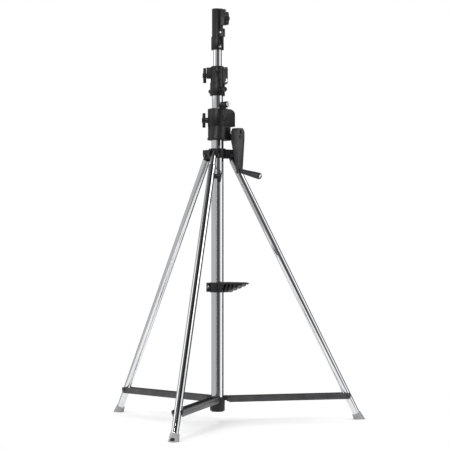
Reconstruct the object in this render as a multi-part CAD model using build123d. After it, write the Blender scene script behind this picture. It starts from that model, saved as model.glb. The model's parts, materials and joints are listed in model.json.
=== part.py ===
from build123d import *
from math import atan2, cos, degrees, pi, radians, sin, sqrt, tan
import os

# Wind-up lighting stand, fully lowered, legs open. Millimetres, +Z up.
# Origin: on the floor, on the column's axis. +X: the crank's axis. +Y: the gearbox's rack side.

# column and the two risers inside it
column_r = 25.0
column_bore_r = 23.5
column_bottom = 52.0
column_top = 1238.0
riser_1_r = 22.5
riser_1_bore_r = 21.0
riser_1_bottom = 75.0
riser_1_top = 1432.0
riser_2_r = 17.5
riser_2_bore_r = 16.0
riser_2_bottom = 100.0
riser_2_top = 1562.0
stand_top = 1670.0
socket_r = 14.3
socket_floor = 1585.0
run = 0.05

# legs: 180 degrees is the left leg, 60 the right leg, -60 the levelling leg
leg_angles = {"left": 180.0, "right": 60.0, "levelling": -60.0}
foot_circle_r = 605.0
leg_pivot_r = 55.3
leg_pivot_z = 1078.0
leg_r = 15.0
leg_bore_r = 13.8
leg_slope = atan2(foot_circle_r - leg_pivot_r, leg_pivot_z)
leg_tube_start = 16.0
leg_end_z = 12.0
inner_leg_r = 11.0
inner_leg_start = -12.0
outer_leg_start = 51.6
levelling_knob_s = 97.6

# spreader
hub_pivot_r = 45.0
hub_pivot_z = 102.4
hub_r = 30.5
brace_pivot_s = (leg_pivot_z - hub_pivot_z) / cos(leg_slope)
brace_length = leg_pivot_r + brace_pivot_s * sin(leg_slope) - hub_pivot_r
brace_inner = 17.0
brace_wall = 1.8
brace_below = 17.0
brace_above = 8.0

# gearbox
box_bottom = 1141.0
box_seam = 1197.0
box_top = 1266.0
box_r = 39.5
crank_y = 51.5
crank_z = 1155.0
rack_module = 1.25
rack_pinion_teeth = 16
rack_pitch_y = 21.05
pinion_y = rack_pitch_y + rack_module * rack_pinion_teeth / 2
gear_module = 1.5
drive_teeth = 36
crank_teeth = 12
gear_distance = gear_module * (drive_teeth + crank_teeth) / 2
pinion_z = crank_z + sqrt(gear_distance ** 2 - (crank_y - pinion_y) ** 2)
gear_x = (-34.5, -28.5)
backlash = 0.2

# crank
arm_x = (65.0, 81.0)
arm_deep_x = 47.0
arm_wall = 2.5
arm_radius = 139.0
grip_droop = 13.0
grip_length = 106.0

# locks
knob_angle = 225.0
gearbox_knob_z = 1221.0
clamp_knob_z = 1401.5
head_angle = 25.0
head_knob_z = 1630.0
plunger_angle = -15.0
plunger_z = 1342.0
release_z = 1282.0
lever_angle = 45.0
step_z = 569.0

LOW = (Align.CENTER, Align.CENTER, Align.MIN)
CORNER = (Align.MIN, Align.MIN, Align.MIN)


def turned(shape, angle):
    return Rot(0, 0, angle) * shape


def rod(start, end, radius):
    """A round bar from one point to another."""
    span = Vector(*end) - Vector(*start)
    return Plane(origin=start, z_dir=span) * Cylinder(radius, span.length, align=LOW)


def upright(z0, z1, radius):
    return rod((0, 0, z0), (0, 0, z1), radius)


def ring(z0, z1, outer, inner):
    return upright(z0, z1, outer) - upright(z0 - 1, z1 + 1, inner)


def block(x0, x1, y0, y1, z0, z1):
    return Pos(x0, y0, z0) * Box(x1 - x0, y1 - y0, z1 - z0, align=CORNER)


def out_at(angle, radius, z):
    """A point at a distance from the column's axis."""
    return (radius * cos(radians(angle)), radius * sin(radians(angle)), z)


def outline_of(points, corner=0.0):
    """A flat outline that faces along its plane's normal, whichever way its points run."""
    ahead = points[1:] + points[:1]
    turn = sum(a[0] * b[1] - b[0] * a[1] for a, b in zip(points, ahead))
    face = Polygon(*(points if turn > 0 else points[::-1]), align=None)
    return fillet(face.vertices(), corner) if corner else face


def slab(points, plane, thickness, corner=0.0):
    """A flat plate, from its plane along the plane's normal."""
    return extrude(plane * outline_of(points, corner), thickness)


def leg_point(s, side=0.0):
    """A point on a leg's axis, in the plane of the leg at 0 degrees."""
    return (leg_pivot_r + s * sin(leg_slope), side, leg_pivot_z - s * cos(leg_slope))


def save(name, shape):
    export_step(shape, f"parts/{name}.step")


# column

def column_tube():
    tube = ring(column_bottom, column_top, column_r, column_bore_r)
    pinion_slot = block(-8.5, 8.5, 15, 30, 1118, 1215)
    screw_hole = rod(out_at(knob_angle, 18, gearbox_knob_z), out_at(knob_angle, 30, gearbox_knob_z), 5)
    return tube - pinion_slot - screw_hole


def column_end_plug():
    return upright(48, column_bottom, 24.5) + upright(column_bottom, 60, column_bore_r - 0.1)


def column_top_bush():
    body = ring(column_top + 0.5, box_top, 26.9, riser_1_r + run)
    return body + ring(box_top + 0.1, box_top + 3, 29, riser_1_r + run)


def leg_collar():
    """The casting that clamps on the column and holds the three leg pivots."""
    body = upright(1069, 1107, 33)
    ear = [(20, 1104), (67, 1103), (67, 1084), (61, 1071), (48, 1068), (20, 1068)]
    ear_plane = Plane(origin=(0, 18, 0), x_dir=(1, 0, 0), z_dir=(0, -1, 0))
    for angle in leg_angles.values():
        body += turned(slab(ear, ear_plane, 36, 3), angle)
    for angle in leg_angles.values():
        gap = block(36, 90, -12.6, 12.6, 1060, 1110)
        pin_hole = rod((leg_pivot_r, -30, leg_pivot_z), (leg_pivot_r, 30, leg_pivot_z), 4)
        body -= turned(gap + pin_hole, angle)
    return body - upright(1060, 1120, column_r + 0.02)


def leg_pivot_bolts():
    bolts = []
    for angle in leg_angles.values():
        shank = rod((leg_pivot_r, -18, leg_pivot_z), (leg_pivot_r, 18, leg_pivot_z), 3.98)
        head = rod((leg_pivot_r, -22, leg_pivot_z), (leg_pivot_r, -18.02, leg_pivot_z), 6.5)
        nut_face = Plane(origin=(leg_pivot_r, 18.02, leg_pivot_z), z_dir=(0, 1, 0))
        nut = extrude(nut_face * RegularPolygon(7, 6), 4)
        bolts.append(turned(shank + head + nut, angle))
    return Compound(children=bolts)


# gearbox

def gear_space():
    """The room for the two gear pairs inside the gearbox castings."""
    slot = block(-35.8, -27.3, 1.5, 62, box_bottom + 2.5, 1216)
    pocket = block(-27.4, 6, 28.5, 58, box_bottom + 5, 1216)
    pinion_room = block(-6, 6, 18, 30, 1170, 1200)
    return slot + pocket + pinion_room


def shaft_holes():
    gear_hole = rod((-41, pinion_y, pinion_z), (15, pinion_y, pinion_z), 5 + run)
    crank_hole = rod((-30, crank_y, crank_z), (60, crank_y, crank_z), 6.5)
    left_seat = rod((-41.05, crank_y, crank_z), (-30, crank_y, crank_z), 8.52)
    right_seat = rod((38, crank_y, crank_z), (60, crank_y, crank_z), 8.52)
    return gear_hole + crank_hole + left_seat + right_seat


def gearbox_base():
    gear_side = Pos(-17.5, 31.5) * Rectangle(51, 63)
    crank_side = Pos(16, 16) * RectangleRounded(46, 52, 10)
    outline = Circle(box_r - 1) + gear_side + crank_side
    body = extrude(Pos(0, 0, box_bottom) * outline, box_seam - box_bottom)
    body += rod((5, crank_y, crank_z), (50, crank_y, crank_z), 13.4)
    body += block(6, 40, 28, crank_y, box_bottom, 1158)
    body += ring(box_bottom, box_bottom + 9, box_r + 1.5, 30)
    tongue = Pos(27, 0, 1129.5) * Box(4, 8, 23)
    body += turned(tongue, -29)
    body -= block(36, 50, 8, 19, box_bottom - 1, 1190)
    body -= upright(1100, 1260, column_r + run)
    return body - gear_space() - shaft_holes()


def gearbox_cover():
    height = box_top - box_seam
    outline = Circle(box_r) + Pos(-1.5, 35) * Rectangle(83, 70)
    far = outline.vertices().group_by(Axis.Y)[-1]
    outline = fillet(far, 16)
    body = extrude(Pos(0, 0, box_seam) * outline, height)
    side = Pos(10, height / 2) * Rectangle(120, height)
    crown = fillet(side.vertices().sort_by(lambda v: v.X + v.Y)[-1], 40)
    side_plane = Plane(origin=(-60, 0, box_seam), x_dir=(0, 1, 0), z_dir=(1, 0, 0))
    body = body & extrude(side_plane * crown, 120)
    body += rod((38, 3, 1228), (41.2, 3, 1228), 12)
    body += rod(out_at(knob_angle, 30, gearbox_knob_z), out_at(knob_angle, 47, gearbox_knob_z), 11)
    hollow = block(-36, 36, 30, 63, box_seam - 1, 1240)
    screw_hole = rod(out_at(knob_angle, 20, gearbox_knob_z), out_at(knob_angle, 60, gearbox_knob_z), 4 + run)
    body -= upright(1100, column_top + 0.4, column_r + run)
    body -= upright(column_top, box_top + 1, 27)
    return body - gear_space() - hollow - screw_hole


def gearbox_screws():
    """Four cap screws that hold the cover to the base, on top of the cover."""
    screws = []
    for x, y in ((-30, 24), (30, 24), (-26, -22), (26, -22)):
        head = Pos(x, y, box_top + 0.02) * Cylinder(4, 3, align=LOW)
        key = extrude(Pos(x, y, box_top + 1.5) * RegularPolygon(2, 6), 3)
        screws.append(head - key)
    return Compound(children=screws)


def shaft_bushings():
    right = rod((38.1, crank_y, crank_z), (50.5, crank_y, crank_z), 8.5)
    left = rod((-41, crank_y, crank_z), (-36, crank_y, crank_z), 8.5)
    bore = rod((-60, crank_y, crank_z), (60, crank_y, crank_z), 6 + run)
    return Compound(children=[right - bore, left - bore])


def brake_housing():
    cup = rod((50.6, crank_y, crank_z), (63, crank_y, crank_z), 13.5)
    room = rod((50, crank_y, crank_z), (61, crank_y, crank_z), 11)
    return cup - room - rod((50, crank_y, crank_z), (64, crank_y, crank_z), 6.2)


def release_housing():
    """The barrel on top of the gearbox that carries the release button."""
    barrel = rod((24, 0, release_z), (56, 0, release_z), 12.5)
    foot = block(26, 40, -9, 9, box_top + 0.02, release_z)
    screw_seat = upright(box_top, box_top + 3.1, 29.2)
    spring_room = rod((30, 0, release_z), (57, 0, release_z), 9)
    return (barrel + foot) - screw_seat - spring_room


def release_button():
    stem = rod((42, 0, release_z), (59.6, 0, release_z), 8.9)
    return stem + rod((59.6, 0, release_z), (64, 0, release_z), 10)


# gears

def gear_outline(module, teeth, first_angle):
    """Stub involute teeth, 20 degree pressure angle, thinned for backlash. First tooth at first_angle."""
    pitch = module * teeth / 2
    base = pitch * cos(radians(20))
    tip = pitch + 0.8 * module
    root = pitch - module
    half_pitch_tooth = pi / (2 * teeth) - backlash / 2 / (2 * pitch) * 2
    involute_at = lambda r: sqrt(max((r / base) ** 2 - 1, 0)) - atan2(sqrt(max((r / base) ** 2 - 1, 0)), 1)
    flank_radii = [max(root, base) + (tip - max(root, base)) * k / 4 for k in range(5)]
    points = []
    for tooth in range(teeth):
        centre = first_angle + 2 * pi * tooth / teeth
        sides = []
        for r in flank_radii:
            half = half_pitch_tooth + involute_at(pitch) - involute_at(r)
            sides.append((r, half))
        root_half = sides[0][1]
        flank = [(root, root_half)] * (root < base) + sides
        points += [(r * cos(centre - half), r * sin(centre - half)) for r, half in flank]
        points += [(r * cos(centre + half), r * sin(centre + half)) for r, half in reversed(flank)]
    return Polygon(*points, align=None)


def gear(module, teeth, first_angle, y, z, x0, x1):
    across = Plane(origin=(x0, y, z), x_dir=(0, 1, 0), z_dir=(1, 0, 0))
    return extrude(across * gear_outline(module, teeth, first_angle), x1 - x0)


mesh_angle = atan2(crank_z - pinion_z, crank_y - pinion_y)


def drive_gear():
    body = gear(gear_module, drive_teeth, mesh_angle, pinion_y, pinion_z, *gear_x)
    return body - rod((-50, pinion_y, pinion_z), (50, pinion_y, pinion_z), 5.01)


def pinion_shaft():
    """The shaft whose own teeth drive the rack, and which carries the drive gear."""
    shaft = rod((-40.5, pinion_y, pinion_z), (14.5, pinion_y, pinion_z), 5)
    return shaft + gear(rack_module, rack_pinion_teeth, pi, pinion_y, pinion_z, -3.7, 3.7)


def riser_1_rack():
    """A toothed bar let into the riser's wall, its teeth towards +Y."""
    pitch = pi * rack_module
    tip = rack_pitch_y + 0.8 * rack_module
    root = rack_pitch_y - rack_module
    slope = tan(radians(20))
    half = pitch / 4 - backlash / 4
    spaces_down = 266
    spaces_up = 7
    outline = []
    for k in range(-spaces_down, spaces_up):
        z = pinion_z + (k + 0.5) * pitch
        outline.append((root, z - half - rack_module * slope))
        outline.append((tip, z - half + 0.8 * rack_module * slope))
        outline.append((tip, z + half - 0.8 * rack_module * slope))
        outline.append((root, z + half + rack_module * slope))
    back = riser_2_r + 0.4
    outline.append((root, outline[-1][1] + 8))
    outline.append((back, outline[-1][1]))
    outline.append((back, outline[0][1] - 8))
    outline.append((root, outline[0][1] - 8))
    side_plane = Plane(origin=(-4, 0, 0), x_dir=(0, 1, 0), z_dir=(1, 0, 0))
    return extrude(side_plane * Polygon(*outline, align=None), 8)


# crank

def crank_shaft():
    """The shaft with its own small pinion and its brake disc."""
    half_tooth = pi / crank_teeth
    shaft = rod((-40.8, crank_y, crank_z), (78.5, crank_y, crank_z), 6)
    shaft += gear(gear_module, crank_teeth, mesh_angle + pi + half_tooth, crank_y, crank_z, *gear_x)
    return shaft + rod((53, crank_y, crank_z), (58.5, crank_y, crank_z), 10.5)


def crank_arm():
    """A pressed channel, wide and deep at the shaft and narrow at the grip, its back outwards."""
    across = Plane(origin=(arm_deep_x, crank_y, crank_z), x_dir=(0, 1, 0), z_dir=(1, 0, 0))
    points = [(-22, -12), (-22, 20), (-14, 34), (14, 34), (22, 20), (22, -12), (10, -149), (-10, -149)]
    outline = outline_of(points, 6)
    depth = arm_x[1] - arm_deep_x
    body = extrude(across * outline, depth)
    body -= extrude(across * offset(outline, amount=-arm_wall), depth - arm_wall)
    low = crank_z - arm_radius - 20
    taper = [(arm_deep_x - 1, crank_z - 12), (arm_x[0], crank_z - 120), (arm_x[0], low), (arm_deep_x - 1, low)]
    body -= slab(taper, Plane(origin=(0, crank_y + 30, 0), x_dir=(1, 0, 0), z_dir=(0, -1, 0)), 60)
    body += rod((arm_x[0], crank_y, crank_z), (arm_x[1], crank_y, crank_z), 11)
    body += rod((arm_x[0], crank_y, grip_z), (arm_x[1], crank_y, grip_z), 7.4)
    body -= block(70, 90, crank_y - 4.5, crank_y + 4.5, crank_z + 12, crank_z + 25)
    body -= rod((60, crank_y, crank_z), (78.7, crank_y, crank_z), 6.01)
    body -= rod((76, crank_y, crank_z), (90, crank_y, crank_z), 4)
    return body - rod(grip_point(-20), grip_point(20), 4.01)


def crank_bolt():
    """The screw that holds the arm on its shaft, and the pin in the arm's slot."""
    head = rod((arm_x[1] + 0.02, crank_y, crank_z), (arm_x[1] + 4, crank_y, crank_z), 6.5)
    key = rod((arm_x[1] + 2, crank_y, crank_z), (arm_x[1] + 5, crank_y, crank_z), 3)
    shank = rod((78.6, crank_y, crank_z), (arm_x[1] + 1, crank_y, crank_z), 3.9)
    return head + shank - key


grip_z = crank_z - arm_radius


def grip_point(distance, radial=0.0):
    """A point on the grip's axis, measured from the arm's face."""
    droop = radians(grip_droop)
    x = arm_x[1] + distance * cos(droop)
    return (x, crank_y + radial, grip_z - distance * sin(droop))


def crank_spindle():
    shank = rod(grip_point(-12), grip_point(grip_length + 4), 3.98)
    return shank + rod(grip_point(grip_length + 4), grip_point(grip_length + 7), 8)


def crank_grip():
    """A tapered round handle that turns on its spindle."""
    profile = [(4.05, 4.5), (8.2, 4.5), (9.4, 6.5), (10.2, 30), (12.6, 85), (13.4, grip_length)]
    profile += [(11.5, grip_length + 3.6), (4.05, grip_length + 3.6)]
    outline = Plane.XZ * Polygon(*profile, align=None)
    body = revolve(outline, Axis.Z)
    axis = Vector(*grip_point(10)) - Vector(*grip_point(0))
    return Plane(origin=grip_point(0), x_dir=(0, 1, 0), z_dir=axis) * body


# risers

def riser_1_tube():
    tube = ring(riser_1_bottom, riser_1_top, riser_1_r, riser_1_bore_r)
    rack_slot = block(-4.05, 4.05, 15, 30, 125, 1226)
    screw_hole = rod(out_at(knob_angle, 15, clamp_knob_z), out_at(knob_angle, 30, clamp_knob_z), 5)
    return tube - rack_slot - screw_hole


def riser_1_shoe():
    shoe = ring(62, riser_1_bottom - 0.05, column_bore_r - run, riser_2_r + 0.5)
    return shoe + ring(riser_1_bottom - 0.05, 92, riser_1_bore_r - 0.02, riser_2_r + 0.5)


def clamp_body():
    """The casting on top of the first riser that grips the second one."""
    body = upright(1320, 1372, 30) + upright(1372, 1436, 28)
    body += turned(block(0, 24, -13, 16, 1372, 1436), lever_angle)
    body += turned(block(20, 44, -13, 13, 1390, 1433), knob_angle)
    body += rod(out_at(plunger_angle, -45, plunger_z), out_at(plunger_angle, 40, plunger_z), 11)
    body += rod(out_at(plunger_angle, -58, plunger_z), out_at(plunger_angle, -40, plunger_z), 9.5)
    body += rod(out_at(-42, 20, 1417), out_at(-42, 31, 1417), 7)
    body += rod(out_at(-30, 20, 1384), out_at(-30, 31.5, 1384), 6)
    body -= upright(1300, 1432.05, riser_1_r + 0.02)
    body -= upright(1400, 1440, 21)
    body -= rod(out_at(knob_angle, 15, clamp_knob_z), out_at(knob_angle, 60, clamp_knob_z), 4 + run)
    body -= rod(out_at(plunger_angle, 28, plunger_z), out_at(plunger_angle, 50, plunger_z), 8)
    body -= turned(block(20.5, 60, -30, -13.5, 1356, 1440), lever_angle)
    return body - rod(lever_point(0, 5), lever_point(0, -20), 3.05)


def clamp_bush():
    body = ring(1396, 1436, riser_1_bore_r - 0.05, riser_2_r + run)
    return body + ring(1436.05, 1439, 24, riser_2_r + run)


def clamp_plunger():
    stem = rod(out_at(plunger_angle, 31, plunger_z), out_at(plunger_angle, 46, plunger_z), 7.9)
    return stem + rod(out_at(plunger_angle, 46, plunger_z), out_at(plunger_angle, 60, plunger_z), 10.5)


def lever_point(out, depth):
    """A point on the release lever: out from its pivot, and depth in front of its plate."""
    along = radians(lever_angle)
    pivot_out = 30.0
    x = (pivot_out + out) * cos(along) + (14 + depth) * sin(along)
    y = (pivot_out + out) * sin(along) - (14 + depth) * cos(along)
    return (x, y, 1426.0)


def lever_plane():
    along = radians(lever_angle)
    normal = (sin(along), -cos(along), 0)
    return Plane(origin=lever_point(0, 0), x_dir=(cos(along), sin(along), 0), z_dir=normal)


def clamp_lever():
    """A rounded plate with a crescent finger gap, hinged at its upper inner corner."""
    points = [(-7, 7), (8, 9), (12, 3), (12, -54), (5, -62), (-4, -62), (-9, -50)]
    outline = outline_of(points, 4)
    gap = Pos(3, -45) * Circle(8) - Pos(-4, -43) * Circle(9)
    pin = rod(lever_point(0, -12), lever_point(0, 8), 3)
    head = rod(lever_point(0, 6), lever_point(0, 8), 5)
    return extrude(lever_plane() * (outline - gap), 6) + pin + head


def riser_2_tube():
    return ring(riser_2_bottom, riser_2_top, riser_2_r, riser_2_bore_r)


def riser_2_shoe():
    plug = upright(riser_2_bottom, 116, riser_2_bore_r - 0.02)
    foot = upright(94.5, riser_2_bottom - 0.02, riser_1_bore_r - run) - block(-30, 30, 17.6, 30, 90, 130)
    return plug + foot


# head

def head_socket():
    """The socket casting on top of the second riser, for a lamp's spigot."""
    body = upright(1505, 1557, 25.5) + upright(1557, stand_top, 22.5)
    body += turned(block(12, 34, -11, 11, 1604, stand_top - 3), head_angle)
    body += turned(block(12, 29, -10, 10, 1558, 1590), head_angle)
    body -= turned(block(19, 40, -5, 5, 1592, stand_top + 1), -27)
    window = turned(block(15, 40, -4.5, 4.5, 1528, 1556), -11)
    body -= window
    body -= upright(1500, riser_2_top + 0.02, riser_2_r + 0.02)
    body -= upright(socket_floor, stand_top + 1, socket_r)
    return body - rod(out_at(head_angle, 5, head_knob_z), out_at(head_angle, 60, head_knob_z), 4 + run)


def head_screws():
    """The cross bolt and the stud that fix the head to the riser."""
    low = rod(out_at(-25, 25.6, 1516), out_at(-25, 29, 1516), 5)
    side = rod(out_at(-20, 22.6, 1574), out_at(-20, 25, 1574), 4.5)
    return Compound(children=[low, side])


# knobs

def wing_knob(centre, outward, half_span, along=(0, 0, 1)):
    """A two-winged knob: its back face at centre, its wings along a given direction."""
    frame = Plane(origin=centre, x_dir=along, z_dir=outward)
    h = half_span
    points = [(-h, -5.5), (-h, 5.5), (-9, 9.5), (9, 9.5), (h, 5.5), (h, -5.5), (9, -9.5), (-9, -9.5)]
    wings = extrude(Pos(0, 0, 1) * outline_of(points, 4), 12)
    body = Cylinder(9, 16, align=LOW) + wings
    seat = Pos(0, 0, -1) * Cylinder(4.02, 7, align=LOW)
    return frame * (body - seat)


def screw(centre, outward, inside):
    """The knob's screw, from inside the casting into the knob."""
    return Plane(origin=centre, z_dir=outward) * Pos(0, 0, -inside) * Cylinder(4, inside + 5.9, align=LOW)


def knob_and_screw(name, centre, outward, half_span, inside, along=(0, 0, 1)):
    save(name, wing_knob(centre, outward, half_span, along))
    save(name + "_screw", screw(centre, outward, inside))


# foot step

def foot_step():
    """A clamp ring on the column with a wedge-shaped tread towards +X."""
    body = upright(step_z - 41, step_z - 1, 31)
    body += turned(block(20, 45, -9, 9, step_z - 39, step_z - 2), knob_angle)
    side = [(27, step_z), (163, step_z), (165, step_z - 3), (120, step_z - 20), (56, step_z - 40), (27, step_z - 40)]
    wedge = slab(side, Plane(origin=(0, 22, 0), x_dir=(1, 0, 0), z_dir=(0, -1, 0)), 44)
    plan = [(20, -25), (20, 25), (60, 27), (150, 20), (165, 12), (165, -12), (150, -20), (60, -27)]
    wedge = wedge & slab(plan, Plane(origin=(0, 0, step_z - 45)), 60)
    plate = slab(plan, Plane(origin=(0, 0, step_z - 5)), 5)
    for k in range(5):
        start = 62 + 20 * k
        rib_gap = [(start, step_z - 7), (start + 12, step_z - 7), (start - 6, step_z - 40), (start - 18, step_z - 40)]
        for side_y in (11, -11 - 12):
            gap_plane = Plane(origin=(0, side_y + 12, 0), x_dir=(1, 0, 0), z_dir=(0, -1, 0))
            wedge -= slab(rib_gap, gap_plane, 12)
    body += wedge + plate
    for k in range(9):
        body += block(50 + 12 * k, 54 + 12 * k, -15, 15, step_z - 1, step_z + 1.6)
    split = turned(block(20, 60, -1.5, 1.5, step_z - 60, step_z + 10), knob_angle)
    bolt_hole = turned(rod((38, -20, step_z - 20), (38, 20, step_z - 20), 3.52), knob_angle)
    return body - upright(step_z - 60, step_z + 10, column_r + 0.02) - split - bolt_hole


def foot_step_screw():
    shank = rod((38, -9.5, step_z - 20), (38, 12, step_z - 20), 3.5)
    head = rod((38, -14, step_z - 20), (38, -9.02, step_z - 20), 6)
    nut_face = Plane(origin=(38, 9.02, step_z - 20), z_dir=(0, 1, 0))
    nut = extrude(nut_face * RegularPolygon(6, 6), 4.5)
    return turned(shank + head + nut, knob_angle)


# spreader

def hub_sleeve():
    """Slides on the column; three lugs carry the braces, three pockets let them fold."""
    body = upright(52, 107, hub_r)
    for angle in leg_angles.values():
        lug = block(20, hub_pivot_r, -16.6, 16.6, hub_pivot_z - 9, hub_pivot_z + 9)
        nose = rod((hub_pivot_r, -16.6, hub_pivot_z), (hub_pivot_r, 16.6, hub_pivot_z), 9)
        body += turned(lug + nose, angle)
    for angle in leg_angles.values():
        pocket = block(27.4, 60, -18.9, 18.9, 40, 90)
        pin_hole = rod((hub_pivot_r, -30, hub_pivot_z), (hub_pivot_r, 30, hub_pivot_z), 3)
        body -= turned(pocket + pin_hole, angle)
    return body - upright(40, 130, column_r + 0.06)


def hub_pivot_pins():
    pins = []
    reach = brace_inner + brace_wall + 0.4
    for angle in leg_angles.values():
        pin = rod((hub_pivot_r, -reach, hub_pivot_z), (hub_pivot_r, reach, hub_pivot_z), 2.98)
        for side in (-1, 1):
            face = side * reach
            pin += rod((hub_pivot_r, face, hub_pivot_z), (hub_pivot_r, face + 2 * side, hub_pivot_z), 5.5)
        pins.append(turned(pin, angle))
    return Compound(children=pins)


def brace(angle):
    """A channel, open upwards, from the hub to the leg. Its floor stops short of both ends."""
    wide = brace_inner + brace_wall
    end = hub_pivot_r + brace_length
    low = hub_pivot_z - brace_below
    high = hub_pivot_z + brace_above
    points = [(hub_pivot_r - 8, low + 9), (hub_pivot_r - 8, high), (end + 9, high), (end + 9, low + 7)]
    points += [(end + 2, low), (hub_pivot_r + 1, low)]
    side_plane = Plane(origin=(0, wide, 0), x_dir=(1, 0, 0), z_dir=(0, -1, 0))
    body = slab(points, side_plane, 2 * wide, 3.5)
    body -= block(0, end + 30, -brace_inner, brace_inner, low + brace_wall, high + 5)
    body -= block(0, hub_pivot_r + 20, -brace_inner, brace_inner, low - 5, high + 5)
    body -= block(end - 140, end + 30, -brace_inner, brace_inner, low - 5, high + 5)
    body -= rod((hub_pivot_r, -30, hub_pivot_z), (hub_pivot_r, 30, hub_pivot_z), 3.03)
    body -= rod((end, -30, hub_pivot_z), (end, 30, hub_pivot_z), 3.01)
    return turned(body, angle)


def brace_rivets(angle):
    """The two rivet ends that hold the brace to its leg; they stop at the leg's wall."""
    end = hub_pivot_r + brace_length
    rivets = []
    for side in (-1, 1):
        inner = 15.5 * side
        face = (brace_inner + brace_wall + 0.02) * side
        shank = rod((end, inner, hub_pivot_z), (end, face, hub_pivot_z), 3)
        head = rod((end, face, hub_pivot_z), (end, face + 4 * side, hub_pivot_z), 7)
        rivets.append(turned(shank + head, angle))
    return Compound(children=rivets)


# legs

def leg_pivot_hole():
    return rod((leg_pivot_r, -30, leg_pivot_z), (leg_pivot_r, 30, leg_pivot_z), 4 + 0.03)


def leg_eye(angle, plug_r):
    """The tongue that turns in the collar, with a plug that holds the leg's tube."""
    boss = rod((leg_pivot_r, -12.3, leg_pivot_z), (leg_pivot_r, 12.3, leg_pivot_z), 10)
    axis = Vector(*leg_point(1)) - Vector(*leg_point(0))
    neck = Plane(origin=leg_point(0), x_dir=(0, 1, 0), z_dir=axis) * Box(24.6, 18, 15.9, align=LOW)
    neck &= rod(leg_point(-2), leg_point(20), 14.5)
    plug = rod(leg_point(15.5), leg_point(50), plug_r)
    return turned(boss + neck + plug - leg_pivot_hole(), angle)


def inner_leg_plug(angle):
    """Fills the inner tube where the pivot bolt passes through it."""
    return turned(rod(leg_point(inner_leg_start + 0.5), leg_point(50), inner_leg_r - 1.52) - leg_pivot_hole(), angle)


def leg_tube(angle, start):
    s_end = (leg_pivot_z - leg_end_z) / cos(leg_slope)
    tube = rod(leg_point(start), leg_point(s_end), leg_r) - rod(leg_point(start - 1), leg_point(s_end + 1), leg_bore_r)
    if start > leg_tube_start:
        tube -= rod(leg_point(levelling_knob_s), leg_point(levelling_knob_s, 40), 4.5)
    return turned(tube, angle)


def inner_leg_tube(angle):
    tube = rod(leg_point(inner_leg_start), leg_point(420), inner_leg_r)
    bore = rod(leg_point(inner_leg_start - 1), leg_point(430), inner_leg_r - 1.5)
    return turned(tube - bore - leg_pivot_hole(), angle)


def inner_leg_bush(angle):
    """The guide between the levelling leg's two tubes."""
    flange = rod(leg_point(outer_leg_start - 2), leg_point(outer_leg_start - 0.05), leg_r - 0.5)
    sleeve = rod(leg_point(outer_leg_start - 0.05), leg_point(outer_leg_start + 32), leg_bore_r - 0.02)
    return turned(flange + sleeve - rod(leg_point(20), leg_point(200), inner_leg_r + run), angle)


def levelling_boss(angle):
    """The boss on the side of the levelling leg, where its clamping screw goes in."""
    body = rod(leg_point(levelling_knob_s, 8), leg_point(levelling_knob_s, 26), 9.5)
    body -= rod(leg_point(levelling_knob_s - 20), leg_point(levelling_knob_s + 20), leg_r + 0.02)
    body -= rod(leg_point(levelling_knob_s), leg_point(levelling_knob_s, 60), 4 + run)
    return turned(body, angle)


def foot(angle):
    """A rubber shoe with a flat sole, longer on its outer side."""
    s_end = (leg_pivot_z - leg_end_z) / cos(leg_slope)
    axis = Vector(*leg_point(1)) - Vector(*leg_point(0))
    cuff = Plane(origin=leg_point(s_end - 15), x_dir=(0, 1, 0), z_dir=axis) * Circle(18)
    sole = Pos(foot_circle_r + 2, 0, 0) * Ellipse(25, 20)
    body = loft([cuff, sole])
    body -= rod(leg_point(s_end - 60), leg_point(s_end + 0.1), leg_r + 0.02)
    body -= block(foot_circle_r + 14, foot_circle_r + 40, -9, 9, 4, 16)
    return turned(body, angle)


# all nodes

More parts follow.
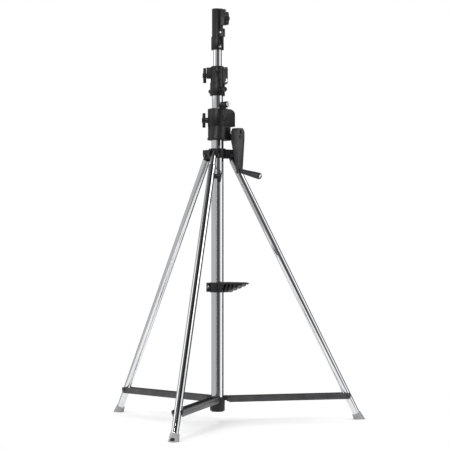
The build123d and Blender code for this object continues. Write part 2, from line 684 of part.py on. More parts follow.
def save_all():
    save("column_tube", column_tube())
    save("column_end_plug", column_end_plug())
    save("column_top_bush", column_top_bush())
    save("leg_collar", leg_collar())
    save("leg_pivot_bolts", leg_pivot_bolts())
    save("gearbox_base", gearbox_base())
    save("gearbox_cover", gearbox_cover())
    save("gearbox_screws", gearbox_screws())
    save("shaft_bushings", shaft_bushings())
    save("brake_housing", brake_housing())
    save("release_housing", release_housing())
    save("release_button", release_button())
    save("drive_gear", drive_gear())
    save("pinion_shaft", pinion_shaft())
    save("crank_shaft", crank_shaft())
    save("crank_arm", crank_arm())
    save("crank_bolt", crank_bolt())
    save("crank_spindle", crank_spindle())
    save("crank_grip", crank_grip())
    save("riser_1_tube", riser_1_tube())
    save("riser_1_rack", riser_1_rack())
    save("riser_1_shoe", riser_1_shoe())
    save("clamp_body", clamp_body())
    save("clamp_bush", clamp_bush())
    save("clamp_plunger", clamp_plunger())
    save("clamp_lever", clamp_lever())
    save("riser_2_tube", riser_2_tube())
    save("riser_2_shoe", riser_2_shoe())
    save("head_socket", head_socket())
    save("head_screws", head_screws())
    save("foot_step", foot_step())
    save("foot_step_screw", foot_step_screw())
    save("hub_sleeve", hub_sleeve())
    save("hub_pivot_pins", hub_pivot_pins())
    for side, angle in leg_angles.items():
        save(f"brace_{side}", brace(angle))
        save(f"brace_rivets_{side}", brace_rivets(angle))
        save(f"foot_{side}", foot(angle))
    for side in ("left", "right"):
        save(f"leg_tube_{side}", leg_tube(leg_angles[side], leg_tube_start))
        save(f"leg_eye_{side}", leg_eye(leg_angles[side], leg_bore_r - 0.02))
    level = leg_angles["levelling"]
    save("leg_tube_levelling", leg_tube(level, outer_leg_start))
    save("leg_eye_levelling", inner_leg_plug(level))
    save("inner_leg_tube", inner_leg_tube(level))
    save("inner_leg_bush", inner_leg_bush(level))
    save("levelling_boss", levelling_boss(level))
    knob_and_screw("gearbox_knob", out_at(knob_angle, 47.3, gearbox_knob_z), out_at(knob_angle, 1, 0), 29.5, 24)
    knob_and_screw("clamp_knob", out_at(knob_angle, 44.3, clamp_knob_z), out_at(knob_angle, 1, 0), 30.5, 23)
    knob_and_screw("head_knob", out_at(head_angle, 34.3, head_knob_z), out_at(head_angle, 1, 0), 26, 18.5)
    seat = turned(Pos(*leg_point(levelling_knob_s, 26.3)), level).position
    outward = out_at(level + 90, 1, 0)
    knob_and_screw("levelling_knob", tuple(seat), outward, 24.5, 14.8)


os.makedirs("parts", exist_ok=True)
save_all()
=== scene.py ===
import json
import math
import bmesh
import bpy
import numpy as np
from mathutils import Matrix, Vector


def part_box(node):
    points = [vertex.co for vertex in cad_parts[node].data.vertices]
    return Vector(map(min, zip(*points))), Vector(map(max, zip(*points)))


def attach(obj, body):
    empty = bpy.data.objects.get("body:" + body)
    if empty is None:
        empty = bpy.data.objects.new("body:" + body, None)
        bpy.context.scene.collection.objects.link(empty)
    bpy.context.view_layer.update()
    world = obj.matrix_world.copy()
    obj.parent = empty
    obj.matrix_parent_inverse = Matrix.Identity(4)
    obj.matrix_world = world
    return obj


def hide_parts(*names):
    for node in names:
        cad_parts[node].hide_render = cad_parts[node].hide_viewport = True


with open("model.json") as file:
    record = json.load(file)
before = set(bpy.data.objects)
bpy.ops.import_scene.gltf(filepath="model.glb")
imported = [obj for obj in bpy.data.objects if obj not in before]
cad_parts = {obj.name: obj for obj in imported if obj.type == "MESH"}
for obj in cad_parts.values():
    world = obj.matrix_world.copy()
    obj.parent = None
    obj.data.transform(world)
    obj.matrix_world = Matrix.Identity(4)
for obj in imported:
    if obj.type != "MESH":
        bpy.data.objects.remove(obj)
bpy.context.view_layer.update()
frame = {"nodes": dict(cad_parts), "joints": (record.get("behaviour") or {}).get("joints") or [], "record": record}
nodes = frame["nodes"]
slotOf = {part["node"]: part["material_slot"] for part in frame["record"]["subparts"]}
bodyOf = {node: body for body, names in frame["record"]["behaviour"]["bodies"].items() for node in names}
jointOf = {joint["name"]: joint for joint in frame["joints"]}
print("frame loaded:", len(nodes), "nodes")


def addToScene(name, data):
    made = bpy.data.objects.new(name, data)
    bpy.context.scene.collection.objects.link(made)
    return made


viewFrom = {"turn": 45.3, "distance": 6.144, "height": 0.711, "lens": 121.9, "sensor": 36,
            "shift": (0.0167, 0.0487)}


def makeCamera():
    # level, on a circle round the stand, looking at its axis
    turn = math.radians(viewFrom["turn"])
    data = bpy.data.cameras.new("standCamera")
    data.lens = viewFrom["lens"]
    data.sensor_width = viewFrom["sensor"]
    data.shift_x, data.shift_y = viewFrom["shift"]
    camera = addToScene("standCamera", data)
    away = viewFrom["distance"]
    camera.location = (away * math.sin(turn), -away * math.cos(turn), viewFrom["height"])
    camera.rotation_euler = (math.pi / 2, 0, turn)
    bpy.context.scene.camera = camera


softboxes = {
    "key": {"place": (3.2, 1.6, 3.4), "size": 2.2, "power": 30},
    "front": {"place": (1.4, -3.1, 2.5), "size": 0.5, "power": 40},
    "fill": {"place": (-2.6, -3.4, 2.8), "size": 2.2, "power": 20},
    "rim": {"place": (-1.5, 3.6, 3.0), "size": 2.0, "power": 20},
}
softboxesAimAt = (0, 0, 0.9)
overhead = {"place": (-0.8, -0.4, 5.0), "strength": 3.7, "softness": 130}


def addLight(name, kind, power, place, aimAt):
    data = bpy.data.lights.new(name, kind)
    data.energy = power
    light = addToScene(name, data)
    light.location = place
    light.rotation_euler = (Vector(aimAt) - Vector(place)).to_track_quat("-Z", "Y").to_euler()
    return light


def makeLights():
    for name, box in softboxes.items():
        light = addLight(name, "AREA", box["power"], box["place"], softboxesAimAt)
        light.data.size = box["size"]
    # an even light from above keeps the floor white and its shadows soft; the chrome doesn't show it
    sun = addLight("overhead", "SUN", overhead["strength"], overhead["place"], (0, 0, 0))
    sun.data.angle = math.radians(overhead["softness"])
    sun.visible_glossy = False


class Sock:
    # wraps one output socket; arithmetic on it adds Math nodes
    def __init__(self, graph, socket):
        self.graph = graph
        self.socket = socket

    def math(self, operation, first, second=None):
        return self.graph.node("ShaderNodeMath", {"operation": operation}, {0: first, 1: second})

    def __add__(self, other):
        return self.math("ADD", self, other)

    def __radd__(self, other):
        return self.math("ADD", other, self)

    def __sub__(self, other):
        return self.math("SUBTRACT", self, other)

    def __rsub__(self, other):
        return self.math("SUBTRACT", other, self)

    def __mul__(self, other):
        return self.math("MULTIPLY", self, other)

    def __rmul__(self, other):
        return self.math("MULTIPLY", other, self)

    def __pow__(self, other):
        return self.math("POWER", self, other)


class Graph:
    # one node tree
    def __init__(self, tree):
        self.tree = tree

    def node(self, kind, settings=None, inputs=None, output=0):
        # any node: its settings first, then the values or links of its inputs
        made = self.tree.nodes.new(kind)
        for key, value in (settings or {}).items():
            if key == "stops":
                elements = made.color_ramp.elements
                for i, (at, colour) in enumerate(value):
                    stop = elements[i] if i < 2 else elements.new(at)
                    stop.position = at
                    stop.color = (*colour, 1)
            else:
                setattr(made, key, value)
        for key, value in (inputs or {}).items():
            if isinstance(value, Sock):
                self.tree.links.new(value.socket, made.inputs[key])
            elif value is not None:
                made.inputs[key].default_value = value
        return Sock(self, made.outputs[output])

    def ramp(self, value, stops):
        return self.node("ShaderNodeValToRGB", {"stops": stops}, {"Fac": value}, "Color")


class Finish(Graph):
    # one material, with its Principled shader
    def __init__(self, name, fixed):
        self.material = bpy.data.materials.new(name)
        self.material.use_nodes = True
        super().__init__(self.material.node_tree)
        self.shader = self.tree.nodes["Principled BSDF"]
        for key, value in fixed.items():
            self.shader.inputs[key].default_value = value

    def noise(self, scale, detail, stretch=(1, 1, 1)):
        spot = self.node("ShaderNodeTexCoord", output="Object")
        place = self.node("ShaderNodeMapping", inputs={"Vector": spot, "Scale": stretch})
        inputs = {"Vector": place, "Scale": scale, "Detail": detail, "Roughness": 0.5}
        return self.node("ShaderNodeTexNoise", inputs=inputs, output="Fac")

    def feed(self, name, value):
        self.tree.links.new(value.socket, self.shader.inputs[name])

    def bump(self, height, strength, distance):
        inputs = {"Height": height, "Strength": strength, "Distance": distance}
        self.feed("Normal", self.node("ShaderNodeBump", None, inputs, "Normal"))


# the studio round the stand, as (direction in degrees from +X, level): pale walls, a dark gap behind
# the camera and grey flags, which are what the chrome shows
studioBands = [(-180, 0.40), (-166, 0.42), (-158, 0.62), (-80, 0.58), (-68, 0.26), (-47, 0.20),
               (-44, 0.02), (-26, 0.02), (-22, 0.20), (8, 0.22), (12, 1.30), (47, 1.30),
               (52, 0.06), (102, 0.06), (108, 0.55), (160, 0.60), (180, 0.40)]
studioTint = np.array((1, 1, 1.01))
# the bands fade to a dim ceiling between two heights of the direction, 0 being level and 1 straight up
ceiling = {"from": 0.35, "to": 0.60, "level": 0.22}


def makeStudio():
    # the direction's angle, as 0 to 1, picks the band; the camera itself sees plain white
    bpy.context.scene.view_settings.view_transform = "Standard"
    world = bpy.data.worlds.new("studio")
    world.use_nodes = True
    bpy.context.scene.world = world
    world.node_tree.nodes.clear()
    g = Graph(world.node_tree)
    direction = g.node("ShaderNodeTexCoord", output="Generated")
    x, y, z = (g.node("ShaderNodeSeparateXYZ", inputs={0: direction}, output=axis) for axis in "XYZ")
    around = x.math("ARCTAN2", y, x) * (0.5 / math.pi) + 0.5
    stops = [((angle + 180) / 360, tuple(level * studioTint)) for angle, level in studioBands]
    bands = g.ramp(around, stops)
    span = {"Value": z, "From Min": ceiling["from"], "From Max": ceiling["to"],
            "To Min": 1, "To Max": ceiling["level"]}
    fade = g.node("ShaderNodeMapRange", inputs=span, output="Result")
    room = g.node("ShaderNodeBackground", inputs={"Color": bands, "Strength": fade})
    plain = g.node("ShaderNodeBackground", inputs={"Color": (1, 1, 1, 1), "Strength": 1.0})
    seen = g.node("ShaderNodeLightPath", output="Is Camera Ray")
    mixed = g.node("ShaderNodeMixShader", inputs={0: seen, 1: room, 2: plain})
    end = g.tree.nodes.new("ShaderNodeOutputWorld")
    g.tree.links.new(mixed.socket, end.inputs["Surface"])


# per material slot: the material's name and fixed inputs; cloud, a noise as (scale, detail, stretch);
# colours, the two ends of the cloud's ramp; rough, the roughness and what the cloud adds to it; and
# where there is one a fine grain with its bump's strength and distance, and a scuff that lightens
finishFacts = {
    "chrome_tube": {
        "name": "chromePlate", "fixed": {"Metallic": 1.0, "IOR": 1.5}, "cloud": (9, 5, (1, 1, 0.35)),
        "colours": [(0.25, (0.68, 0.685, 0.70)), (0.75, (0.77, 0.775, 0.785))], "rough": (0.04, 0.07)},
    "black_casting": {
        "name": "powderCoat", "fixed": {"Metallic": 0.0, "IOR": 1.5, "Specular IOR Level": 0.36},
        "cloud": (35, 4),
        "colours": [(0.3, (0.006, 0.006, 0.007)), (0.75, (0.012, 0.012, 0.013))], "rough": (0.34, 0.10),
        "grain": (1500, 2), "grainRough": 0.06, "bump": (0.08, 0.0001)},
    "black_steel": {
        "name": "blackPaint", "fixed": {"Metallic": 0.0, "IOR": 1.5}, "cloud": (22, 5),
        "scuff": {"noise": (120, 6, (0.3, 0.3, 1)), "sharpness": 7, "strength": 2},
        "colours": [(0.3, (0.026, 0.026, 0.028)), (0.9, (0.060, 0.060, 0.063))], "rough": (0.30, 0.15),
        "grain": (700, 3), "bump": (0.10, 0.0002)},
    "black_plastic": {
        "name": "mouldedNylon", "fixed": {"Metallic": 0.0, "IOR": 1.49, "Specular IOR Level": 0.4},
        "cloud": (60, 3),
        "colours": [(0.3, (0.007, 0.007, 0.008)), (0.8, (0.014, 0.014, 0.015))], "rough": (0.32, 0.18),
        "grain": (2400, 2), "bump": (0.25, 0.00015)},
    "grip_plastic": {
        "name": "gripPlastic", "fixed": {"Metallic": 0.0, "IOR": 1.49}, "cloud": (45, 4),
        "colours": [(0.3, (0.016, 0.016, 0.018)), (0.8, (0.034, 0.034, 0.037))], "rough": (0.26, 0.18),
        "grain": (1800, 2), "bump": (0.12, 0.00015)},
    "bright_steel": {
        "name": "zincPlate", "fixed": {"Metallic": 1.0}, "cloud": (80, 4),
        "colours": [(0.3, (0.60, 0.60, 0.62)), (0.8, (0.80, 0.80, 0.82))], "rough": (0.18, 0.16),
        "grain": (900, 2), "bump": (0.05, 0.0002)},
    "gear_steel": {
        "name": "greasedSteel", "fixed": {"Metallic": 1.0}, "cloud": (50, 5),
        "colours": [(0.3, (0.26, 0.25, 0.23)), (0.8, (0.46, 0.45, 0.43))], "rough": (0.25, 0.25),
        "grain": (600, 3), "bump": (0.08, 0.0002)},
    "bronze": {
        "name": "bronzeBush", "fixed": {"Metallic": 1.0}, "cloud": (90, 4),
        "colours": [(0.3, (0.42, 0.25, 0.09)), (0.8, (0.62, 0.42, 0.20))], "rough": (0.35, 0.2),
        "grain": (1400, 2), "bump": (0.15, 0.0002)},
    "nylon": {
        "name": "paleNylon", "fixed": {"Metallic": 0.0}, "cloud": (40, 3),
        "colours": [(0.3, (0.62, 0.60, 0.54)), (0.8, (0.74, 0.72, 0.67))], "rough": (0.45, 0.15),
        "grain": (1600, 2), "bump": (0.1, 0.0002)},
    "grey_rubber": {
        "name": "greyRubber", "fixed": {"Metallic": 0.0, "IOR": 1.45}, "cloud": (55, 5),
        "colours": [(0.3, (0.24, 0.24, 0.245)), (0.8, (0.34, 0.34, 0.345))], "rough": (0.62, 0.2),
        "grain": (1300, 3), "bump": (0.3, 0.0003)},
}


def makeFinish(facts):
    # the cloud drives the colour and the roughness
    f = Finish(facts["name"], facts["fixed"])
    cloud = f.noise(*facts["cloud"])
    tone = cloud
    if "scuff" in facts:
        scuff = facts["scuff"]
        tone = cloud + f.noise(*scuff["noise"]) ** scuff["sharpness"] * scuff["strength"]
    f.feed("Base Color", f.ramp(tone, facts["colours"]))
    base, spread = facts["rough"]
    rough = base + cloud * spread
    if "grain" in facts:
        grain = f.noise(*facts["grain"])
        f.bump(grain, *facts["bump"])
        if "grainRough" in facts:
            rough = rough + grain * facts["grainRough"]
    f.feed("Roughness", rough)
    return f.material


finishes = {slot: makeFinish(facts) for slot, facts in finishFacts.items()}


def dressNodes():
    # every CAD node gets its procedural finish
    for name, piece in nodes.items():
        piece.data.materials.clear()
        piece.data.materials.append(finishes[slotOf[name]])


# distances in metres under which points merge or an edge counts as none, and angles in degrees
meshLimits = {"softMerge": 1e-6, "closedMerge": 1e-7, "noEdge": 1e-8, "flatAngle": 0.6, "smoothAngle": 38}


def addPiece(name, mesh, node, slot=None):
    # a finished piece at the origin, riding on its node's body, in its own slot or the node's
    piece = addToScene(name, mesh)
    slot = slot or slotOf[node]
    mesh.materials.clear()
    mesh.materials.append(finishes[slot])
    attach(piece, bodyOf[node])
    return piece


def applyModifiers(piece):
    # also smooths the mesh and keeps its corners sharp
    graph = bpy.context.evaluated_depsgraph_get()
    mesh = bpy.data.meshes.new_from_object(piece.evaluated_get(graph))
    piece.modifiers.clear()
    piece.data = mesh
    mesh.polygons.foreach_set("use_smooth", np.ones(len(mesh.polygons), dtype=bool))
    mesh.set_sharp_from_angle(angle=math.radians(meshLimits["smoothAngle"]))


bevel = {"segments": 2, "sharperThan": 32}
# how wide each node's edges are rounded, in metres
edgeWidths = {
    "leg_collar": 0.0015, "gearbox_base": 0.0012, "gearbox_cover": 0.0015, "brake_housing": 0.001,
    "release_housing": 0.001, "foot_step": 0.0006, "clamp_body": 0.0012, "head_socket": 0.001,
    "hub_sleeve": 0.001, "crank_arm": 0.0008, "clamp_lever": 0.0012, "brace_left": 0.0004,
    "brace_right": 0.0004, "brace_levelling": 0.0004, "levelling_boss": 0.001,
    "leg_eye_left": 0.0008, "leg_eye_right": 0.0008, "leg_eye_levelling": 0.0008,
    "foot_left": 0.0015, "foot_right": 0.0015, "foot_levelling": 0.0015,
    "leg_pivot_bolts": 0.0004, "hub_pivot_pins": 0.0004,
    "brace_rivets_left": 0.0005, "brace_rivets_right": 0.0005, "brace_rivets_levelling": 0.0005,
    "gearbox_screws": 0.0003, "head_screws": 0.0005, "foot_step_screw": 0.0004,
    "crank_bolt": 0.0005, "crank_spindle": 0.0005, "column_top_bush": 0.0006, "clamp_bush": 0.0004,
}


def softened(node):
    # a merged copy of a CAD node with rounded edges
    mesh = nodes[node].data.copy()
    work = bmesh.new()
    work.from_mesh(mesh)
    bmesh.ops.remove_doubles(work, verts=work.verts, dist=meshLimits["softMerge"])
    flat = math.radians(meshLimits["flatAngle"])
    bmesh.ops.dissolve_limit(work, angle_limit=flat, verts=work.verts, edges=work.edges)
    for face in work.faces:
        face.smooth = True
    work.to_mesh(mesh)
    work.free()
    piece = addPiece(node + "_soft", mesh, node)
    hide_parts(node)
    edge = piece.modifiers.new("edge", "BEVEL")
    edge.width = edgeWidths[node]
    edge.segments = bevel["segments"]
    edge.limit_method = "ANGLE"
    edge.angle_limit = math.radians(bevel["sharperThan"])
    edge.use_clamp_overlap = True
    edge.harden_normals = True
    applyModifiers(piece)


def gridMesh(name, points, keep=None):
    # points[i, j]: i runs along, j runs around and closes; keep is a mask of the cells that exist
    along, around = points.shape[:2]
    i, j = np.meshgrid(np.arange(along - 1), np.arange(around), indexing="ij")
    if keep is not None:
        i, j = i[keep], j[keep]
    i, j = i.ravel(), j.ravel()
    nextJ = (j + 1) % around
    here, above = i * around, (i + 1) * around
    faces = np.stack([here + j, here + nextJ, above + nextJ, above + j], axis=1)
    mesh = bpy.data.meshes.new(name)
    mesh.from_pydata(points.reshape(-1, 3).tolist(), [], faces.tolist())
    return mesh


def unit(vector):
    vector = np.array(vector, dtype=float)
    return vector / np.linalg.norm(vector)


def axisFrame(direction):
    # two unit vectors across a direction that isn't vertical, and the direction
    w = unit(direction)
    u = unit(np.cross((0, 0, 1), w))
    return u, np.cross(w, u), w


def turnedMesh(name, profile, start, direction, sides):
    # a profile of (radius, distance) pairs spun about an axis that starts at a point
    u, v, w = axisFrame(direction)
    profile = np.array(profile, dtype=float)
    angle = np.linspace(0, 2 * np.pi, sides, endpoint=False)
    ring = np.cos(angle)[:, None] * u + np.sin(angle)[:, None] * v
    points = np.array(start) + profile[:, 0, None, None] * ring + profile[:, 1, None, None] * w
    return gridMesh(name, points)


def closedPiece(node, mesh, slot=None, stands=True):
    # merges the mesh's doubled points, points its faces outwards and makes it a piece of the node
    work = bmesh.new()
    work.from_mesh(mesh)
    bmesh.ops.remove_doubles(work, verts=work.verts, dist=meshLimits["closedMerge"])
    bmesh.ops.dissolve_degenerate(work, edges=work.edges, dist=meshLimits["noEdge"])
    bmesh.ops.recalc_face_normals(work, faces=work.faces)
    work.to_mesh(mesh)
    work.free()
    piece = addPiece(mesh.name, mesh, node, slot)
    applyModifiers(piece)
    if stands:
        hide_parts(node)


# in metres; a slot faces +Y, and slotHalf is half its width
tubes = {
    "column_tube": {"radius": 0.025, "wall": 0.002,
                    "slotHalf": 0.0085, "slotLow": 1.118, "slotHigh": 1.215},
    "riser_1_tube": {"radius": 0.0225, "wall": 0.0015,
                     "slotHalf": 0.00405, "slotLow": 0.125, "slotHigh": 1.226},
    "riser_2_tube": {"radius": 0.0175, "wall": 0.002},
}
tubeSides = 144
legTubes = {
    "leg_tube_left": {"angle": 180, "radius": 0.015, "wall": 0.0015},
    "leg_tube_right": {"angle": 60, "radius": 0.015, "wall": 0.0015},
    "leg_tube_levelling": {"angle": -60, "radius": 0.015, "wall": 0.0015},
    "inner_leg_tube": {"angle": -60, "radius": 0.011, "wall": 0.0015},
}
legTubeSides = 96
legMeetsFloorAt = 0.605  # a leg's centre line meets the floor this far from the column's axis
edgeRound = 0.0006


def uprightTube(node):
    # rings of points up the column's axis; the cells of a slot are left out, then the wall is added
    k = tubes[node]
    low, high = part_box(node)
    levels = [low[2], low[2] + edgeRound, high[2] - edgeRound, high[2]]
    angle = np.linspace(0, 2 * np.pi, tubeSides, endpoint=False) + np.pi / tubeSides
    keep = None
    if "slotHalf" in k:
        levels = sorted(levels + [k["slotLow"], k["slotHigh"]])
        reach = math.asin(k["slotHalf"] / k["radius"])
        for edge in (np.pi / 2 - reach, np.pi / 2 + reach):
            angle[np.argmin(np.abs(angle - edge))] = edge
        middleZ = (np.array(levels[1:]) + np.array(levels[:-1])) / 2
        middleAngle = (angle + np.append(angle[1:], angle[0] + 2 * np.pi)) / 2
        inSlot = np.abs(middleAngle - np.pi / 2) < reach
        tall = (middleZ > k["slotLow"]) & (middleZ < k["slotHigh"])
        keep = ~(tall[:, None] & inSlot[None, :])
    height, around = np.meshgrid(levels, angle, indexing="ij")
    points = np.stack([k["radius"] * np.cos(around), k["radius"] * np.sin(around), height], axis=2)
    piece = addPiece(node + "_chrome", gridMesh(node, points, keep), node)
    wall = piece.modifiers.new("wall", "SOLIDIFY")
    wall.thickness = k["wall"]
    wall.offset = -1
    applyModifiers(piece)
    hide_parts(node)


def legTube(node):
    # a straight tube along the leg, outer wall and inner wall in one closed profile
    k = legTubes[node]
    radius = k["radius"]
    pivot = jointOf["leg_levelling_fold"]["pos_m"]
    pivotZ = pivot[2]
    pivotR = math.hypot(*pivot[:2])
    slope = math.atan2(legMeetsFloorAt - pivotR, pivotZ)
    # the tube's ends, from the heights of its box, as distances down the leg from its pivot
    low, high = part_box(node)
    side = radius * math.sin(slope)
    startS = (pivotZ - high[2] + side) / math.cos(slope)
    length = (pivotZ - low[2] - side) / math.cos(slope) - startS
    turn = math.radians(k["angle"])
    outward = np.array((math.cos(turn), math.sin(turn), 0))
    direction = outward * math.sin(slope) + np.array((0, 0, -math.cos(slope)))
    start = outward * pivotR + np.array((0, 0, pivotZ)) + direction * startS
    inner = radius - k["wall"]
    profile = [(inner, 0), (radius - edgeRound, 0), (radius, edgeRound), (radius, length - edgeRound),
               (radius - edgeRound, length), (inner, length), (inner, 0)]
    closedPiece(node, turnedMesh(node + "_chrome", profile, start, direction, legTubeSides))


# in mm from the knob's seat; middle levels are (first, last, count); a dimple is sunk in the end
wingKnobs = {
    "names": ("gearbox_knob", "clamp_knob", "head_knob", "levelling_knob"),
    "height": 16.0, "hub": 9.0, "bar": 6.4, "barFrom": 1.0, "barTo": 13.0, "edge": 1.8, "edgeSteps": 5,
    "middleLevels": (3, 11, 5), "squareness": 3.2, "blend": 12, "sides": 144,
    "dimpleRim": 0.55, "dimpleFloor": 0.5, "dimpleDepth": 1, "leastWing": 0.1, "insideBox": 0.01,
}


def rounding(level, low, high, edge):
    # how far a wall steps in near its two ends: a quarter circle of the edge's radius
    near = np.clip(np.minimum(level - low, high - level), 0, edge)
    return edge - np.sqrt(edge ** 2 - (edge - near) ** 2)


def wingKnob(node):
    # at each height the outline is the smooth maximum of a circle and a superellipse along Z
    k = wingKnobs
    turn = jointOf[node + "_turn"]
    low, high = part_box(node)
    span = (high[2] - low[2]) / 2 * 1000
    edgeSteps = k["edge"] * (1 - np.cos(np.linspace(0, np.pi / 2, k["edgeSteps"])))
    levels = np.unique(np.concatenate([edgeSteps, k["barFrom"] + edgeSteps, k["barTo"] - edgeSteps,
                                       k["height"] - edgeSteps, np.linspace(*k["middleLevels"])]))
    phi = np.linspace(0, 2 * np.pi, k["sides"], endpoint=False)
    n = k["squareness"]
    bar = (np.abs(np.cos(phi) / span) ** n + np.abs(np.sin(phi) / k["bar"]) ** n) ** (-1 / n)
    hub = k["hub"] - rounding(levels, 0, k["height"], k["edge"])
    inBar = (levels >= k["barFrom"]) & (levels <= k["barTo"])
    inset = np.where(inBar, rounding(levels, k["barFrom"], k["barTo"], k["edge"]), span)
    wing = np.clip(bar[None, :] - inset[:, None], k["leastWing"], None)
    radius = (wing ** k["blend"] + hub[:, None] ** k["blend"]) ** (1 / k["blend"])
    radius = np.minimum(radius, span - k["insideBox"])
    pole = np.zeros(len(phi))
    radius = np.vstack([pole, radius, radius[-1] * k["dimpleRim"], radius[-1] * k["dimpleFloor"], pole])
    sunk = k["height"] - k["dimpleDepth"]
    levels = np.concatenate([[0], levels, [k["height"], sunk, sunk]])
    out = unit(turn["axis"])
    vertical = unit(np.array((0, 0, 1.0)) - out * out[2])
    side = np.cross(out, vertical)
    points = (np.cos(phi)[:, None] * vertical + np.sin(phi)[:, None] * side)[None] * radius[:, :, None]
    points = np.array(turn["pos_m"]) + (points + levels[:, None, None] * out) / 1000
    closedPiece(node, gridMesh(node + "_moulded", points))


# in mm, a dark insert in each foot's outer recess, painted shade standing in for the recess's shadow; its rim is
# (share of the outline, share of the depth)
footShadeInsert = {
    "reach": 619.1, "depth": 1.4, "halfWide": 8.3, "halfHigh": 5.4, "middle": 10.0,
    "squareness": 5.0, "sides": 72,
    "rim": [(0, 0), (1, 0), (1, 0.8), (0.97, 0.95), (0.90, 1.0), (0.82, 0.95), (0.78, 0.6), (0, 0.6)],
    "angles": {"foot_left": 180, "foot_right": 60, "foot_levelling": -60},
}


def footShadeInserts():
    # a superellipse carried outwards, with a rounded rim and a slightly sunk middle: a dark sheet of painted shade
    # in the foot's recess
    k = footShadeInsert
    phi = np.linspace(0, 2 * np.pi, k["sides"], endpoint=False)
    n = k["squareness"]
    wide, high = np.cos(phi) / k["halfWide"], np.sin(phi) / k["halfHigh"]
    outline = (np.abs(wide) ** n + np.abs(high) ** n) ** (-1 / n)
    scale, depth = np.array(k["rim"]).T
    for node, angle in k["angles"].items():
        turn = math.radians(angle)
        out = np.array((math.cos(turn), math.sin(turn), 0))
        side = np.array((-math.sin(turn), math.cos(turn), 0))
        across = scale[:, None, None] * outline[None, :, None]
        points = across * (np.cos(phi)[:, None] * side + np.sin(phi)[:, None] * np.array((0, 0, 1.0)))
        points += (k["reach"] + depth * k["depth"])[:, None, None] * out + np.array((0, 0, k["middle"]))
        # the black plastic here is painted shade for the recess, not a separate part of the foot
        closedPiece(node, gridMesh(node + "_plug", points / 1000), "black_plastic", stands=False)


# in mm from the grip's joint, along its axis; endDrop is the share of the section lost at the end
grip = {
    "neck": 8.2, "waist": 9.6, "belly": 13.3, "bore": 4.1, "start": 4.6, "end": 109.5,
    "shoulder": 2.2, "endRound": 5.0, "endDrop": 0.35, "steps": 60, "sides": 96,
}


def crankGrip():
    # a handle whose radius swells along a smooth step, with a rounded shoulder and a rounded end
    k = grip
    spin = jointOf["grip_spin"]
    s = np.linspace(0, 1, k["steps"])
    length = k["end"] - k["start"]
    swell = s * s * (3 - 2 * s)
    shoulder = 1 - np.exp(-s * length / k["shoulder"])
    radius = k["neck"] + (k["waist"] - k["neck"]) * shoulder + (k["belly"] - k["waist"]) * swell
    nearEnd = np.clip(1 - (1 - s) * length / k["endRound"], 0, 1)
    radius = radius * np.sqrt(1 - k["endDrop"] * nearEnd ** 3)
    distance = k["start"] + s * length
    bore = k["bore"]
    profile = [(bore, distance[0]), *zip(radius, distance), (bore, distance[-1]), (bore, distance[0])]
    profile = np.array(profile) / 1000
    mesh = turnedMesh("crank_grip_moulded", profile, spin["pos_m"], spin["axis"], k["sides"])
    closedPiece("crank_grip", mesh)


# radii, and distances from the column's axis, in mm
buttons = {
    "release_button": {"towards": (1, 0, 0), "stem": 8.8, "cap": 10.0, "from": 42.2, "step": 59.7,
                       "to": 63.95, "edge": 0.9, "flutes": 0},
    "clamp_plunger": {"towards": jointOf["clamp_plunger_pull"]["axis"], "stem": 7.8, "cap": 10.4,
                      "from": 31.2, "step": 46.1, "to": 59.9, "edge": 1.2, "flutes": 30},
}
buttonCap = {"edgeSteps": 6, "sides": 180, "dimpleRim": 0.6, "dimpleFloor": 0.5, "dimpleDepth": 0.4,
             "fluteDepth": 0.022, "fluteMargin": 0.4}


def flute(mesh, centre, b):
    # pulls the cap's side in by a cosine of the angle round the button's axis
    flat = np.empty(len(mesh.vertices) * 3)
    mesh.vertices.foreach_get("co", flat)
    points = flat.reshape(-1, 3) - np.array(centre)
    u, v, w = axisFrame(b["towards"])
    along = points @ w
    outward = points - along[:, None] * w
    reach = np.linalg.norm(outward, axis=1)
    spin = np.arctan2(outward @ v, outward @ u)
    cut = 1 - buttonCap["fluteDepth"] * (1 - np.cos(spin * b["flutes"]))
    margin = buttonCap["fluteMargin"] / 1000
    onCap = (along > b["step"] / 1000 + margin) & (along < b["to"] / 1000 - margin)
    onCap &= reach > b["stem"] / 1000
    pulledIn = outward * cut[:, None] + along[:, None] * w
    points = np.where(onCap[:, None], pulledIn, points) + np.array(centre)
    mesh.vertices.foreach_set("co", points.ravel())


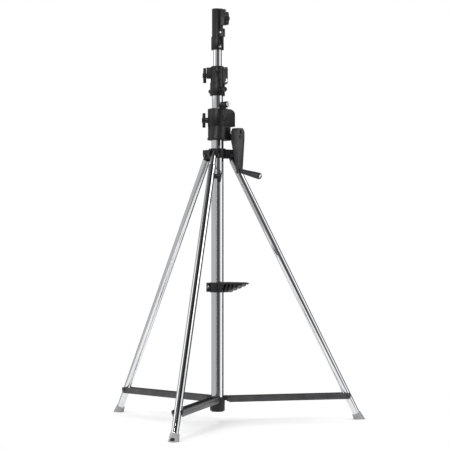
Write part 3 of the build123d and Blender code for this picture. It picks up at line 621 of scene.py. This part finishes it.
def pushButton(node):
    # stem and cap spun about the button's axis, with quarter circles at the cap's two edges
    b = buttons[node]
    low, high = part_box(node)
    centre = (0, 0, (low[2] + high[2]) / 2)
    quarter = np.linspace(0, np.pi / 2, buttonCap["edgeSteps"])
    turnIn = b["edge"] * (1 - np.cos(quarter))
    turnOut = b["edge"] * (1 - np.sin(quarter))
    sunk = b["to"] - buttonCap["dimpleDepth"]
    profile = [(0, b["from"]), (b["stem"], b["from"]), (b["stem"], b["step"])]
    profile += [(b["cap"] - o, b["step"] + i) for o, i in zip(turnOut, turnIn)]
    profile += [(b["cap"] - o, b["to"] - i) for o, i in zip(turnOut[::-1], turnIn[::-1])]
    profile += [(b["cap"] * buttonCap["dimpleRim"], b["to"]),
                (b["cap"] * buttonCap["dimpleFloor"], sunk), (0, sunk)]
    profile = np.array(profile) / 1000
    mesh = turnedMesh(node + "_turned", profile, centre, b["towards"], buttonCap["sides"])
    if b["flutes"]:
        flute(mesh, centre, b)
    closedPiece(node, mesh)


floorDisc = {"radius": 1.0, "start": 0.01, "rings": 12, "sides": 96, "tone": 0.74, "rough": (0.6, 0.2),
             "cloud": (3, 3)}


def makeFloor():
    # a small pale disc under the stand
    k = floorDisc
    around, out = np.meshgrid(np.linspace(0, 2 * np.pi, k["sides"], endpoint=False),
                              np.linspace(k["start"], k["radius"], k["rings"]))
    points = np.stack([out * np.cos(around), out * np.sin(around), 0 * out], axis=2)
    floor = addToScene("floor", gridMesh("floor", points))
    finish = Finish("paleFloor", {"Metallic": 0.0, "Base Color": (k["tone"], k["tone"], k["tone"], 1)})
    base, spread = k["rough"]
    finish.feed("Roughness", base + finish.noise(*k["cloud"]) * spread)
    floor.data.materials.append(finish.material)


makeCamera()
makeLights()
makeStudio()
print("camera, light and studio made")

dressNodes()
for name in tubes:
    uprightTube(name)
for name in legTubes:
    legTube(name)
print("tubes made")

for name in wingKnobs["names"]:
    wingKnob(name)
for name in buttons:
    pushButton(name)
crankGrip()
# the foot plugs are painted shade: dark inserts where the feet's recesses fall into shadow
footShadeInserts()
print("knobs, buttons, grip and foot plugs made")

for name in edgeWidths:
    softened(name)
print("castings and pressings softened")

makeFloor()
print("floor made")
